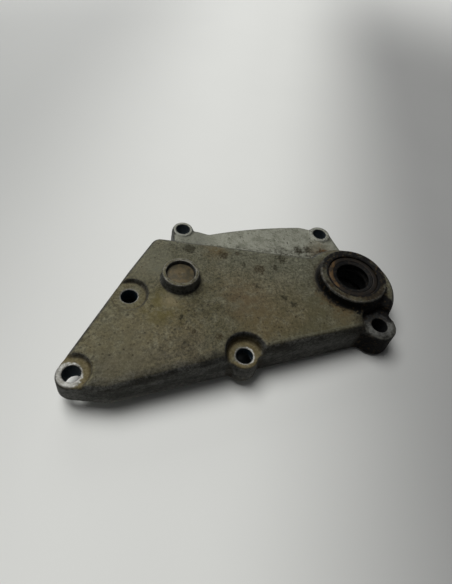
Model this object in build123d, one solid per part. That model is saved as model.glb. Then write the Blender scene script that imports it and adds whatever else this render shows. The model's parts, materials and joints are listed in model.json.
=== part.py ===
from build123d import *
from math import atan2, cos, degrees, hypot, radians, sin, sqrt, tan
import os

os.makedirs("parts", exist_ok=True)

# Gearbox cover of a small motorbike, with its shaft seal, core plug and two dowels.
# Origin: axis of the front dowel on the gasket face. +X runs along the front wall
# towards the shaft seal, and +Z points out of the gearbox. All sizes in millimetres.

# Bolt, shaft and plug centres on the gasket face
front_at = (0.0, 0.0)
ear_at = (61.3, -0.2)
tip_at = (-63.0, 8.2)
rear_at = (-38.0, 35.5)
ledge_left_at = (-6.0, 74.2)
ledge_right_at = (62.1, 59.0)
shaft_at = (57.1, 22.1)
plug_at = (-16.3, 38.2)

# Walls of the raised housing: angle of the outward normal, and distance from the origin
front_wall_angle = -90.0
front_wall_out = 2.2
tip_wall_angle = -110.0
left_wall_angle = 139.5
back_wall_angle = 69.8
back_wall_out = 54.6

# Edge of the low ledge, as steps from its two bolts and from the shaft
ledge_left_foot = (-7.2, -12.0)
ledge_neck = (6.8, -1.2)
ledge_neck_end = (12.0, -4.4)
ledge_bow = (38.0, -4.6)
ledge_bow_end = (-8.0, 7.9)
ledge_right_foot = (12.2, 17.0)

# Heights above the gasket face
housing_height = 14.5
ramp_turn = 32.6
ramp_start = -3.5
ramp_fall = 5.3
ledge_height = 7.0
ear_pad_rise = 0.6
ear_pad_inset = 0.5
front_spot_face = 10.0
rear_spot_face = 12.2
tip_spot_face = 8.8
ear_spot_face = 11.4
shaft_boss_height = 19.4
plug_boss_height = 19.5

# Radii of the bosses and of the pockets for the bolt heads
front_boss_r = 6.1
ear_boss_r = 7.9
tip_boss_r = 6.3
ledge_left_boss_r = 5.7
ledge_right_boss_r = 6.2
shaft_housing_r = 22.0
shaft_boss_r = 14.7
plug_boss_r = 7.6
front_pocket_r = 7.0
ear_pocket_r = 8.0
tip_pocket_r = 6.7
rear_pocket_r = 7.1

# Casting
draft = 3.5
wall = 3.5
gasket_land = 5.0
pocket_wall = 2.5
top_round = 3.2
corner_round = 5.0
front_corner_round = 9.0
blend_round = 5.0
small_blend_round = 2.0
boss_root_round = 1.2
ledge_round = 1.0
edge_break = 0.4
plug_boss_foot = 3.0
bearing_wall = 3.5
pocket_draft = 12.0
rib_width = 3.0
rib_clearance = 4.5
cut_past = 1.0
clear_span = 300.0

# Holes
bolt_hole_d = 6.6
ear_hole_d = 7.0
dowel_d = 9.0
dowel_groove_d = 8.0
dowel_groove_width = 0.7
dowel_seat_depth = 6.0
front_dowel_stand = 3.0
rear_dowel_stand = 4.5
fit_gap = 0.02
dowel_chamfer = 0.5
dowel_shoulder = 0.3

# Shaft seal, and the seats under it
seal_d = 22.0
seal_width = 5.0
seal_sink = 0.7
seal_metal = 0.9
seal_lip_d = 14.4
shaft_bore_d = 18.0
bearing_seat_d = 28.0
bearing_seat_depth = 7.0
spring_wire_d = 1.4
seal_flange_gap = 1.7

# Core plug
plug_d = 12.0
plug_sink = 1.7
plug_metal = 1.2
plug_depth = 4.0
plug_dome = 0.35
plug_bore_d = 9.0


def along(angle, distance):
    """A plan point at a distance from the origin, in the direction of an angle."""
    return (distance * cos(radians(angle)), distance * sin(radians(angle)))


def meet(first, second):
    """The plan point where two walls meet, each an outward angle and a distance."""
    (nx, ny), (mx, my) = along(first[0], 1), along(second[0], 1)
    det = nx * my - ny * mx
    x = (first[1] * my - second[1] * ny) / det
    y = (nx * second[1] - mx * first[1]) / det
    return (x, y)


def tangent_wall(angle, centre, radius):
    """The wall with this outward angle that touches a circle."""
    nx, ny = along(angle, 1)
    return (angle, nx * centre[0] + ny * centre[1] + radius)


def foot(wall_line, point):
    """The plan point on a wall that is nearest to a given point."""
    nx, ny = along(wall_line[0], 1)
    gap = wall_line[1] - nx * point[0] - ny * point[1]
    return (point[0] + gap * nx, point[1] + gap * ny)


def disc(at, radius):
    return Pos(*at) * Circle(radius)


def round_corners(sketch, points, radius):
    """Rounds the corners of a sketch that lie nearest to the given points."""
    for point in points:
        corner = sketch.vertices().sort_by_distance((*point, 0))[0]
        sketch = fillet(corner, radius)
    return sketch


def column(at, low, high, low_r, high_r=None):
    """A round column, or a cone where the two radii differ."""
    top_r = low_r if high_r is None else high_r
    if abs(top_r - low_r) < 1e-6:
        solid = Cylinder(low_r, high - low, align=(Align.CENTER, Align.CENTER, Align.MIN))
    else:
        solid = Cone(low_r, top_r, high - low, align=(Align.CENTER, Align.CENTER, Align.MIN))
    return Pos(at[0], at[1], low) * solid


def drafted(at, low, high, base_r):
    """A cast boss whose side leans in by the draft above the gasket face."""
    lean = tan(radians(draft))
    return column(at, low, high, base_r - low * lean, base_r - high * lean)


def front_wall():
    return (front_wall_angle, front_wall_out)


def back_wall():
    return (back_wall_angle, back_wall_out)


def left_wall():
    return tangent_wall(left_wall_angle, tip_at, tip_boss_r)


def beside(at, radius):
    """The two plan points where a boss leaves the front wall, left and right of it."""
    reach = sqrt(radius**2 - (front_wall_out + at[1]) ** 2)
    return (at[0] - reach, -front_wall_out), (at[0] + reach, -front_wall_out)


def crossing(at, radius, other, other_r):
    """The plan point where two round bosses cross, on the right of the first to the second."""
    run_x, run_y = other[0] - at[0], other[1] - at[1]
    gap = hypot(run_x, run_y)
    along_run = (gap**2 + radius**2 - other_r**2) / (2 * gap)
    aside = sqrt(radius**2 - along_run**2)
    x = at[0] + (run_x * along_run + run_y * aside) / gap
    y = at[1] + (run_y * along_run - run_x * aside) / gap
    return (x, y)


def post(at, base_r, high):
    """A round core post in the hollow, which grows towards the roof by the draft."""
    return column(at, 0, high, base_r, base_r + high * tan(radians(draft)))


def housing_outline():
    """Plan of the raised housing at the gasket face, with its bolt bosses."""
    tip_wall = tangent_wall(tip_wall_angle, tip_at, tip_boss_r)
    corner = meet(tip_wall, front_wall())
    far_corner = meet(left_wall(), back_wall())
    points = [
        corner,
        foot(front_wall(), ear_at),
        ear_at,
        shaft_at,
        foot(back_wall(), shaft_at),
        far_corner,
        foot(left_wall(), tip_at),
        tip_at,
        foot(tip_wall, tip_at),
    ]
    sketch = make_face(Polyline(*points, close=True))
    sketch += disc(shaft_at, shaft_housing_r)
    sketch += disc(tip_at, tip_boss_r)
    sketch += disc(front_at, front_boss_r)
    sketch += disc(ear_at, ear_boss_r)
    sketch = round_corners(sketch, [far_corner], corner_round)
    sketch = round_corners(sketch, [corner], front_corner_round)
    sketch = round_corners(sketch, [beside(ear_at, ear_boss_r)[0]], blend_round)
    above_ear = crossing(ear_at, ear_boss_r, shaft_at, shaft_housing_r)
    return round_corners(sketch, [*beside(front_at, front_boss_r), above_ear], small_blend_round)


def step(at, run):
    return (at[0] + run[0], at[1] + run[1])


def full_outline(raised):
    """Plan of the whole gasket face: the raised housing and the low ledge behind it."""
    left_start = step(ledge_left_at, (-ledge_left_boss_r, 0))
    left_end = step(ledge_left_at, ledge_left_foot)
    neck = step(ledge_left_at, ledge_neck)
    neck_end = step(ledge_left_at, ledge_neck_end)
    bow = step(ledge_left_at, ledge_bow)
    bow_end = step(ledge_right_at, ledge_bow_end)
    right_start = step(ledge_right_at, (ledge_right_boss_r, 0))
    right_end = step(shaft_at, ledge_right_foot)
    edge = Polyline(shaft_at, left_end, left_start)
    edge += Polyline(left_start, ledge_left_at, neck, neck_end)
    edge += ThreePointArc(neck_end, bow, bow_end)
    edge += Polyline(bow_end, right_start, right_end, shaft_at)
    sketch = raised + make_face(edge.edges())
    sketch += disc(ledge_left_at, ledge_left_boss_r)
    sketch += disc(ledge_right_at, ledge_right_boss_r)
    sketch += disc(shaft_at, shaft_housing_r)
    sketch = round_corners(sketch, [left_end], small_blend_round)
    return round_corners(sketch, [right_end, neck], blend_round)


def bolt_centres():
    """Each bolt hole: centre, hole size, spot face height and pocket radius."""
    return {
        "front": (front_at, bolt_hole_d, front_spot_face, front_pocket_r),
        "ear": (ear_at, ear_hole_d, ear_spot_face, ear_pocket_r),
        "tip": (tip_at, bolt_hole_d, tip_spot_face, tip_pocket_r),
        "rear": (rear_at, bolt_hole_d, rear_spot_face, rear_pocket_r),
        "ledge_left": (ledge_left_at, bolt_hole_d, ledge_height, ledge_left_boss_r),
        "ledge_right": (ledge_right_at, bolt_hole_d, ledge_height, ledge_right_boss_r),
    }


def above_ramp(height):
    """The space over the roof, which falls away from its flat part to the tip."""
    space = Box(clear_span, clear_span, clear_span, align=(Align.MAX, Align.CENTER, Align.MIN))
    return Rot(0, 0, ramp_turn) * Pos(ramp_start, 0, height) * Rot(0, -ramp_fall, 0) * space


def cast_boss(at, height, top_r):
    """A round boss that stands on the housing, with its top edge broken."""
    lean = tan(radians(draft))
    boss = column(at, 0, height, top_r + height * lean, top_r)
    rim = boss.edges().filter_by(GeomType.CIRCLE).sort_by(Axis.Z)[-1]
    return fillet(rim, edge_break)


def with_boss(cover, at, height, top_r):
    """Adds a cast boss, with a round where its side runs into the roof."""
    cover += cast_boss(at, height, top_r)
    foot_r = top_r + (height - housing_height) * tan(radians(draft))
    near = [
        edge
        for edge in cover.edges()
        if abs((edge @ 0.5).Z - housing_height) < 0.3
        and abs(hypot((edge @ 0.5).X - at[0], (edge @ 0.5).Y - at[1]) - foot_r) < 0.3
    ]
    return fillet(near, boss_root_round)


def rib(start, end, low, high):
    """A straight stiffening rib under the roof, between two plan points."""
    run = Vector(*end) - Vector(*start)
    middle = (Vector(*start) + Vector(*end)) / 2
    turn = degrees(atan2(run.Y, run.X))
    bar = Box(run.length, rib_width, high - low, align=(Align.CENTER, Align.CENTER, Align.MIN))
    return Pos(middle.X, middle.Y, low) * Rot(0, 0, turn) * bar


def cavity(raised, full):
    """The hollow behind the gasket face: deep under the housing, shallow under the ledge."""
    roof = housing_height - wall
    low_roof = ledge_height - wall
    hollow = extrude(offset(raised, -gasket_land), roof, taper=draft) - above_ramp(roof)
    hollow += extrude(offset(full, -gasket_land), low_roof, taper=draft)
    hollow -= post(shaft_at, bearing_seat_d / 2 + bearing_wall, roof)
    for at, hole_d, face, pocket_r in bolt_centres().values():
        hollow -= post(at, pocket_r + pocket_wall, roof)
    plug_boss = column(plug_at, plug_boss_foot, roof, plug_bore_d / 2 + wall)
    ribs = rib(plug_at, foot(left_wall(), plug_at), rib_clearance, roof)
    ribs += rib(plug_at, front_at, rib_clearance, roof)
    ribs += rib(plug_at, shaft_at, rib_clearance, roof)
    return hollow - plug_boss - ribs


def upper_rim(solid):
    """The edges round the outside of a solid's upward faces, without those between them."""
    tops = [face for face in solid.faces() if face.normal_at().Z > 0.9]
    edges = [edge for face in tops for edge in face.edges()]
    keys = [tuple(round(value, 3) for value in edge.center()) for edge in edges]
    return [edge for edge, key in zip(edges, keys) if keys.count(key) == 1]


def build_casting():
    """The cover itself: one die casting, with its machined faces and bores."""
    raised = housing_outline()
    full = full_outline(raised)
    housing = extrude(raised, housing_height, taper=draft) - above_ramp(housing_height)
    housing = fillet(upper_rim(housing), top_round)
    base = extrude(full, ledge_height, taper=draft)
    base = fillet(upper_rim(base), ledge_round)
    cover = housing + base
    for at, pad_r in ((ledge_left_at, ledge_left_boss_r), (ledge_right_at, ledge_right_boss_r)):
        cover += drafted(at, 0, ledge_height + ear_pad_rise, pad_r - ear_pad_inset)
    cover = with_boss(cover, shaft_at, shaft_boss_height, shaft_boss_r)
    cover = with_boss(cover, plug_at, plug_boss_height, plug_boss_r)
    keep = column(shaft_at, 0, shaft_boss_height, shaft_boss_r + boss_root_round)
    for at, hole_d, face, pocket_r in bolt_centres().values():
        if face != ledge_height:
            depth = housing_height - face + cut_past
            pocket = column(at, face, face + depth, pocket_r, pocket_r + depth * tan(radians(pocket_draft)))
            cover -= pocket - keep
    cover -= cavity(raised, full)
    for at, hole_d, face, pocket_r in bolt_centres().values():
        cover -= column(at, -cut_past, housing_height + cut_past, hole_d / 2)
    for at in (front_at, rear_at):
        cover -= column(at, -cut_past, dowel_seat_depth, dowel_d / 2)
    seal_floor = shaft_boss_height - seal_sink - seal_width
    cover -= column(shaft_at, seal_floor, shaft_boss_height + cut_past, seal_d / 2)
    cover -= column(shaft_at, -cut_past, shaft_boss_height, shaft_bore_d / 2)
    cover -= column(shaft_at, -cut_past, bearing_seat_depth, bearing_seat_d / 2)
    plug_floor = plug_boss_height - plug_sink - plug_depth
    cover -= column(plug_at, plug_floor, plug_boss_height + cut_past, plug_d / 2)
    cover -= column(plug_at, -cut_past, plug_boss_height, plug_bore_d / 2)
    return cover


def ring(at, profile):
    """Turns a profile, points of radius and height, about an upright axis."""
    section = make_face(Polyline(*[(r, 0, z) for r, z in profile], close=True))
    return Pos(at[0], at[1], 0) * revolve(section, Axis.Z)


def build_seal_case():
    """The pressed steel shell of the shaft seal: a sleeve with an inward flange on top."""
    face = shaft_boss_height - seal_sink
    outer = seal_d / 2 - fit_gap
    inner = outer - seal_metal
    flange_in = seal_lip_d / 2 + seal_flange_gap
    shell = ring(
        shaft_at,
        [
            (outer, face - seal_width),
            (outer, face),
            (flange_in, face),
            (flange_in, face - seal_metal),
            (inner, face - seal_metal),
            (inner, face - seal_width),
        ],
    )
    shoulder = shell.edges().filter_by(GeomType.CIRCLE).group_by(Axis.Z)[-1].sort_by(SortBy.RADIUS)[-1]
    return fillet(shoulder, seal_metal * 0.6)


def lip_groove_centre():
    """Radius and height of the spring's wire centre, behind the sealing lip."""
    face = shaft_boss_height - seal_sink
    return seal_lip_d / 2 + spring_wire_d / 2 + 1.1, face - seal_width + spring_wire_d / 2 + 0.3


def wire_ring(at, ring_r, height, wire_r):
    return Pos(at[0], at[1], height) * Torus(ring_r, wire_r)


def build_seal_lip():
    """The moulded rubber: a dust lip towards the outside and a sealing lip behind it."""
    face = shaft_boss_height - seal_sink
    under = face - seal_metal
    case_in = seal_d / 2 - fit_gap - seal_metal
    flange_in = seal_lip_d / 2 + seal_flange_gap
    lip_r = seal_lip_d / 2
    spring_r, spring_z = lip_groove_centre()
    rubber = ring(
        shaft_at,
        [
            (flange_in, face - 0.1),
            (lip_r + 0.7, face - 0.3),
            (lip_r, face - 0.5),
            (lip_r, face - 0.9),
            (lip_r + 0.8, face - 1.4),
            (lip_r + 0.9, spring_z + 1.5),
            (lip_r, spring_z + 0.3),
            (lip_r, spring_z - 0.3),
            (lip_r + 0.5, spring_z - spring_wire_d / 2 - 0.2),
            (spring_r, spring_z - spring_wire_d / 2 - 0.2),
            (spring_r, spring_z + spring_wire_d / 2 + 0.5),
            (spring_r - 0.1, under - 0.8),
            (case_in, under - 0.8),
            (case_in, under),
            (flange_in, under),
        ],
    )
    return rubber - wire_ring(shaft_at, spring_r, spring_z, spring_wire_d / 2 + fit_gap)


def build_garter_spring():
    """The closed coil spring that holds the sealing lip on the shaft, as one ring."""
    spring_r, spring_z = lip_groove_centre()
    return wire_ring(shaft_at, spring_r, spring_z, spring_wire_d / 2)


def build_core_plug():
    """The pressed steel cup that closes the blind bearing boss."""
    top = plug_boss_height - plug_sink
    outer = plug_d / 2 - fit_gap
    inner = outer - plug_metal
    cup = column(plug_at, top - plug_depth, top, outer)
    rim = cup.edges().filter_by(GeomType.CIRCLE).sort_by(Axis.Z)[-1]
    cup = fillet(rim, plug_metal * 0.6)
    dome_r = (inner**2 + plug_dome**2) / (2 * plug_dome)
    dome = Pos(plug_at[0], plug_at[1], top + plug_dome - dome_r) * Sphere(dome_r)
    dome &= column(plug_at, top - plug_metal / 2, top + 1, inner)
    cup += dome
    return cup - column(plug_at, top - plug_depth - 1, top - plug_metal, inner)


def build_dowel(at, stand):
    """A hollow dowel pressed into the cover, grooved for its seal where it leaves the face."""
    outer = dowel_d / 2 - fit_gap
    sleeve = column(at, -stand, dowel_seat_depth, outer)
    rims = sleeve.edges().filter_by(GeomType.CIRCLE)
    sleeve = chamfer(rims, dowel_chamfer)
    groove = column(at, -dowel_shoulder - dowel_groove_width, -dowel_shoulder, dowel_d)
    groove -= column(at, -stand, dowel_seat_depth, dowel_groove_d / 2)
    return sleeve - groove - column(at, -stand - cut_past, dowel_seat_depth + cut_past, bolt_hole_d / 2)


parts = {
    "cover_casting": build_casting(),
    "seal_case": build_seal_case(),
    "seal_lip": build_seal_lip(),
    "garter_spring": build_garter_spring(),
    "core_plug": build_core_plug(),
    "front_dowel": build_dowel(front_at, front_dowel_stand),
    "rear_dowel": build_dowel(rear_at, rear_dowel_stand),
}

for name, solid in parts.items():
    export_step(solid, f"parts/{name}.step")
    print(name, round(solid.volume, 1))
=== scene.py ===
# %% [markdown]
# # A gearbox cover, dressed for its portrait
#
# The cover is an old aluminium die casting from a motorbike. Its shape comes from the
# packed CAD model, and this file gives it what CAD leaves out: soft cast edges, oil film,
# rust, grime and worn seats. The frame is loaded first, so that every piece shares it.

# %% Load the frame
import json
import math

import bmesh
import bpy
import numpy as np
from mathutils import Matrix


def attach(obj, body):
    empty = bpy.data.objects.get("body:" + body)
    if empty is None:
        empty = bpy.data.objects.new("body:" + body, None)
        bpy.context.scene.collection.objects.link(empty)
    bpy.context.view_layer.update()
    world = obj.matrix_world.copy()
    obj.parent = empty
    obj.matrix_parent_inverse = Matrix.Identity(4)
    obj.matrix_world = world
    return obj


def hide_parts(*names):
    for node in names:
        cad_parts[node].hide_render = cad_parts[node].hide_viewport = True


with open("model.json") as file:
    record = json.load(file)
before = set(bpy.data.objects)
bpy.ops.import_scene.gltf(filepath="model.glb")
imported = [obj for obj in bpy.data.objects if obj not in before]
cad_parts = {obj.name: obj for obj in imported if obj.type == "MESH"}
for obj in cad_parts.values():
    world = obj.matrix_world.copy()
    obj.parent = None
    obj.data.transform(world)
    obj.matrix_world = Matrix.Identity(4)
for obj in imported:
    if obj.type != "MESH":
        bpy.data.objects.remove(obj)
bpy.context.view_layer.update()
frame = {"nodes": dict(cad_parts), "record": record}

MM = 0.001
print("nodes:", sorted(frame["nodes"]))

# %% [markdown]
# ## Where things are
#
# The same few plan points are needed by the mesh and by the paint: bolts, shaft and plug.
# The frame's record has a mount at each of them, so they are read from there, in
# millimetres and in the frame's own axes: X along the front wall, Y across the cover, Z
# out of the gearbox. Heights and radii repeat the sizes of the CAD model.

# %% Plan points and heights
mounts = {mount["name"]: mount["pos_m"] for mount in frame["record"]["mounts"]}


def plan_point(name):
    """Where a mount is in plan, in millimetres."""
    return tuple(round(v / MM, 2) for v in mounts[name][:2])


FRONT, EAR = plan_point("front_bolt"), plan_point("ear_bolt")
TIP, REAR = plan_point("tip_bolt"), plan_point("rear_bolt")
LEDGE_LEFT, LEDGE_RIGHT = plan_point("ledge_left_bolt"), plan_point("ledge_right_bolt")
SHAFT, PLUG = plan_point("bearing_seat"), plan_point("blind_shaft_bore")
SHAFT_TOP, PLUG_TOP, ROOF = 19.4, 19.5, 14.5
# centre, height of the machined seat, radius of the bolt head's pocket
SEATS = {
    "front": (FRONT, 10.0, 7.0),
    "ear": (EAR, 11.4, 8.0),
    "tip": (TIP, 8.8, 6.7),
    "rear": (REAR, 12.2, 7.1),
    "ledge_left": (LEDGE_LEFT, 7.6, 5.4),
    "ledge_right": (LEDGE_RIGHT, 7.6, 5.8),
}
print(len(SEATS), "bolt seats")

# %% [markdown]
# ## Camera
#
# The photograph was taken from the front left, about 50 degrees above the table, with a
# wide phone lens. The camera is set from its own axes, because that is how it was solved
# from the round rims in the picture.

# %% Camera
CAMERA_AT = (-47.8, -66.5, 147.2)
CAMERA_RIGHT = (0.9453, -0.2981, 0.1324)
CAMERA_UP = (0.1592, 0.7761, 0.6103)
CAMERA_BACK = (-0.2847, -0.5558, 0.7811)
SENSOR_WIDTH, FOCAL_LENGTH = 36.0, 25.24
lens = bpy.data.cameras.new("portrait")
lens.sensor_fit, lens.sensor_width, lens.lens = "AUTO", SENSOR_WIDTH, FOCAL_LENGTH
lens.clip_start, lens.clip_end = 0.01, 10.0
camera = bpy.data.objects.new("portrait", lens)
bpy.context.scene.collection.objects.link(camera)
turn = Matrix((CAMERA_RIGHT, CAMERA_UP, CAMERA_BACK)).transposed()
camera.matrix_world = Matrix.Translation([v * MM for v in CAMERA_AT]) @ turn.to_4x4()
bpy.context.scene.camera = camera
print("lens", round(lens.lens, 2), "mm")

# %% [markdown]
# ## Writing nodes as sums
#
# A material is a small programme. Placing its Math nodes by hand hides what it says, so a
# socket is wrapped in a class whose sums and products add the nodes. Every other kind of
# node goes through one method, which sets its options first and then fills its sockets.

# %% A socket that can be added and multiplied
class Value:
    """An output socket. Sums and products of it add Math nodes to its tree."""

    def __init__(self, tree, socket):
        self.tree, self.socket = tree, socket

    def sum(self, operation, first, second):
        return self.tree.node("ShaderNodeMath", {"operation": operation}, {0: first, 1: second})

    def __add__(self, other):
        return self.sum("ADD", self, other)

    def __sub__(self, other):
        return self.sum("SUBTRACT", self, other)

    def __rsub__(self, other):
        return self.sum("SUBTRACT", other, self)

    def __mul__(self, other):
        return self.sum("MULTIPLY", self, other)

    __radd__, __rmul__ = __add__, __mul__

    def output(self, name):
        """Another output of the same node."""
        return Value(self.tree, self.socket.node.outputs[name])


print("a value can be added, taken away and multiplied")

# %% A tree that makes its nodes in one way
class Tree:
    """A node tree that is written in Python."""

    def __init__(self, tree):
        self.tree = tree
        tree.nodes.clear()

    def node(self, kind, settings=None, sockets=None, out=0):
        made = self.tree.nodes.new(kind)
        for key, value in (settings or {}).items():
            setattr(made, key, value)
        for key, value in (sockets or {}).items():
            if isinstance(value, Value):
                self.tree.links.new(value.socket, made.inputs[key])
            else:
                made.inputs[key].default_value = value
        return Value(self, made.outputs[out]) if made.outputs else None


print("a tree adds its nodes and fills their sockets")

# %% [markdown]
# ## The words of a finish
#
# Rust, film and wear all need the same few things: a place in millimetres, noise of a
# given size, a soft step, and a mix of two colours. They become short methods, so that a
# material further down reads like a painter's notes.

# %% A finish, with its short words
class Finish(Tree):
    """A material, and the words that describe a surface."""

    def __init__(self, name):
        self.material = bpy.data.materials.new(name)
        self.material.use_nodes = True
        super().__init__(self.material.node_tree)
        coordinates = self.node("ShaderNodeTexCoord", out="Object")
        self.place = self.scaled(coordinates, 1 / MM)
        apart = self.node("ShaderNodeSeparateXYZ", sockets={0: self.place})
        self.x, self.y, self.z = (apart.output(axis) for axis in "XYZ")
        facing = self.node("ShaderNodeNewGeometry", out="Normal")
        facing = self.node("ShaderNodeSeparateXYZ", sockets={0: facing})
        self.facing_z = facing.output("Z")

    def vector_math(self, operation, sockets, out=0):
        """A sum or product of vectors."""
        return self.node("ShaderNodeVectorMath", {"operation": operation}, sockets, out)

    def scaled(self, vector, factor):
        """A vector made longer, or a colour made lighter."""
        return self.vector_math("SCALE", {0: vector, "Scale": factor})

    def moved(self, vector, step):
        """A vector with another one added."""
        return self.vector_math("ADD", {0: vector, 1: step})

    def noise(self, size, detail=3.0, rough=0.55, seed=0, stretch=(1, 1, 1)):
        """Soft noise from 0 to 1 whose blotches are about this many millimetres."""
        at = self.vector_math("MULTIPLY", {0: self.place, 1: stretch})
        at = self.moved(at, (seed * 37.0, seed * 11.0, seed * 23.0))
        sockets = {"Vector": at, "Scale": 1 / size, "Detail": detail, "Roughness": rough}
        return self.node("ShaderNodeTexNoise", {}, sockets, "Fac")

    def cells(self, size, seed=0):
        """Distance to the nearest of scattered points, in cells of this many millimetres."""
        at = self.moved(self.place, (seed * 19.0, seed * 31.0, seed * 7.0))
        return self.node("ShaderNodeTexVoronoi", {}, {"Vector": at, "Scale": 1 / size}, "Distance")

    def step(self, value, low, high):
        """A soft step: 0 below low, 1 above high. With low over high it falls instead."""
        sockets = {"Value": value, "From Min": min(low, high), "From Max": max(low, high)}
        if low > high:
            sockets.update({"To Min": 1.0, "To Max": 0.0})
        return self.node("ShaderNodeMapRange", {"interpolation_type": "SMOOTHSTEP"}, sockets)

    def band(self, value, *ends):
        """1 between the middle two of four rising values, and 0 beyond the outer two."""
        return self.step(value, ends[0], ends[1]) * self.step(value, ends[3], ends[2])

    def mix(self, first, second, amount):
        """One colour over another."""
        colours = [v if isinstance(v, Value) else (*v, 1.0) for v in (first, second)]
        sockets = {0: amount, 6: colours[0], 7: colours[1]}
        return self.node("ShaderNodeMix", {"data_type": "RGBA"}, sockets, 2)

    def blend(self, first, second, amount):
        """One number over another."""
        return self.node("ShaderNodeMix", {"data_type": "FLOAT"}, {0: amount, 2: first, 3: second}, 0)

    def most(self, *masks):
        """The largest of several masks."""
        top = masks[0]
        for mask in masks[1:]:
            top = self.node("ShaderNodeMath", {"operation": "MAXIMUM"}, {0: top, 1: mask})
        return top

    def away(self, at):
        """Distance in plan from a point, in millimetres."""
        flat = self.node("ShaderNodeCombineXYZ", sockets={0: self.x, 1: self.y})
        return self.vector_math("DISTANCE", {0: flat, 1: (*at, 0)}, "Value")

    def near(self, at, outer, inner):
        """1 inside the inner circle about a plan point, and 0 outside the outer one."""
        return self.step(self.away(at), outer, inner)

    def spot(self, at, radius):
        """A soft patch about a plan point, with a ragged outline."""
        shift = self.noise(radius * 0.6, seed=at[0] * 0.13) - 0.5
        return self.step(self.away(at) + shift * (1.2 * radius), radius * 1.8, radius * 0.2)

    def attribute(self, name):
        """A value that was measured on the mesh."""
        return self.node("ShaderNodeAttribute", {"attribute_name": name}, out="Fac")

    def bump(self, height, depth, normal=None):
        """A bump this many millimetres deep for a height of 0 to 1."""
        sockets = {"Strength": 1.0, "Distance": depth * MM, "Height": height}
        if normal:
            sockets["Normal"] = normal
        return self.node("ShaderNodeBump", {}, sockets)

    def finish(self, **sockets):
        """The surface shader, from the names of its sockets with _ for a space."""
        named = {key.replace("_", " "): value for key, value in sockets.items()}
        for key, value in named.items():
            if isinstance(value, tuple) and len(value) == 3 and "Color" in key:
                named[key] = (*value, 1.0)
        surface = self.node("ShaderNodeBsdfPrincipled", {}, named)
        self.node("ShaderNodeOutputMaterial", {}, {"Surface": surface})
        return self.material


print("words:", [word for word in vars(Finish) if not word.startswith("_")])

# %% [markdown]
# ## Table and light
#
# The cover lies on a pale table and rests on its dowels, so the table tilts a little
# against the gasket face. Its colour has painted light: bright at the left, painted shade
# towards the right, and pale again far off. The light is a broad soft window high up behind
# and to the left, a weaker one from the far wall, and an even fill: the roof reads clearly
# and the front wall stays dark.

# %% Table
TABLE_RISE_X, TABLE_RISE_Y, TABLE_DROP = 0.0389, -0.0006, -3.22
TABLE_HALF = 1.6
TABLE_PAINTED_LIGHT, TABLE_PAINTED_SHADE = (0.68, 0.685, 0.655), (0.265, 0.266, 0.26)
TABLE_GREY_AND_SHADE, TABLE_FAR_PAINTED_LIGHT = (0.42, 0.425, 0.41), (0.74, 0.745, 0.72)
corners = [(x * TABLE_HALF, y * TABLE_HALF) for x, y in ((-1, -1), (1, -1), (1, 1), (-1, 1))]
heights = [TABLE_RISE_X * x + TABLE_RISE_Y * y + TABLE_DROP * MM for x, y in corners]
table_mesh = bpy.data.meshes.new("table")
table_mesh.from_pydata([(x, y, z) for (x, y), z in zip(corners, heights)], [], [(0, 1, 2, 3)])
table = bpy.data.objects.new("table", table_mesh)
bpy.context.scene.collection.objects.link(table)

laminate = Finish("pale laminate with painted light")
across = laminate.x - laminate.y * 0.5
# Painted light and shade: bright at the left, painted shade towards the right, pale again far off.
tone = laminate.mix(TABLE_PAINTED_LIGHT, TABLE_PAINTED_SHADE, laminate.step(across, -10.0, 115.0))
tone = laminate.mix(tone, TABLE_GREY_AND_SHADE, laminate.step(across, -40.0, -200.0))
tone = laminate.mix(tone, TABLE_FAR_PAINTED_LIGHT, 1 - laminate.near((0.0, 40.0), 620.0, 300.0))
tone = laminate.mix(tone, TABLE_GREY_AND_SHADE, laminate.noise(70.0, detail=2.0) * 0.12)
table_mesh.materials.append(laminate.finish(Base_Color=tone, Roughness=0.6, Specular_IOR_Level=0.25))
print("table drops to", round(min(heights) / MM, 1), "mm")

# %% Lights
def lamp(name, at, aim, size, power):
    """A soft square lamp that looks at a point. All places are in millimetres."""
    data = bpy.data.lights.new(name, "AREA")
    data.shape, data.size, data.energy = "SQUARE", size * MM, power
    made = bpy.data.objects.new(name, data)
    bpy.context.scene.collection.objects.link(made)
    start, end = np.array(at) * MM, np.array(aim) * MM
    back = (start - end) / np.linalg.norm(start - end)
    side = np.cross((0, 0, 1), back)
    side /= np.linalg.norm(side)
    spin = Matrix((side, np.cross(back, side), back)).transposed()
    made.matrix_world = Matrix.Translation(start) @ spin.to_4x4()


MIDDLE_OF_COVER, LAMP_SIZE = (0, 25, 0), 1300
FILL, BACKDROP = (0.97, 0.98, 1.0, 1.0), (0.56, 0.565, 0.55, 1.0)
lamp("window", (-450, 780, 1950), MIDDLE_OF_COVER, LAMP_SIZE, 45.0)
lamp("far wall", (200, 2200, 800), MIDDLE_OF_COVER, LAMP_SIZE, 12.0)
world = bpy.data.worlds.new("room")
world.use_nodes = True
bpy.context.scene.world = world
room = Tree(world.node_tree)
fill = room.node("ShaderNodeBackground", {}, {"Color": FILL, "Strength": 0.08})
backdrop = room.node("ShaderNodeBackground", {}, {"Color": BACKDROP, "Strength": 1.0})
seen = room.node("ShaderNodeLightPath").output("Is Camera Ray")
sky = room.node("ShaderNodeMixShader", {}, {0: seen, 1: fill, 2: backdrop})
room.node("ShaderNodeOutputWorld", {}, {"Surface": sky})
bpy.context.scene.view_settings.view_transform = "Standard"

# %% [markdown]
# ## The casting's skin
#
# A die casting has no sharp inside corners: metal flows round them. A copy of the CAD mesh
# is remeshed finely and smoothed, much where the skin is as cast, and hardly at all where
# a tool has cut it: seats, bores and the gasket face. Thinning the mesh afterwards keeps
# the triangles for the curves.

# %% Helpers for meshes
def add_object(name, mesh):
    """Puts a mesh into the scene."""
    made = bpy.data.objects.new(name, mesh)
    bpy.context.scene.collection.objects.link(made)
    return made


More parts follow.
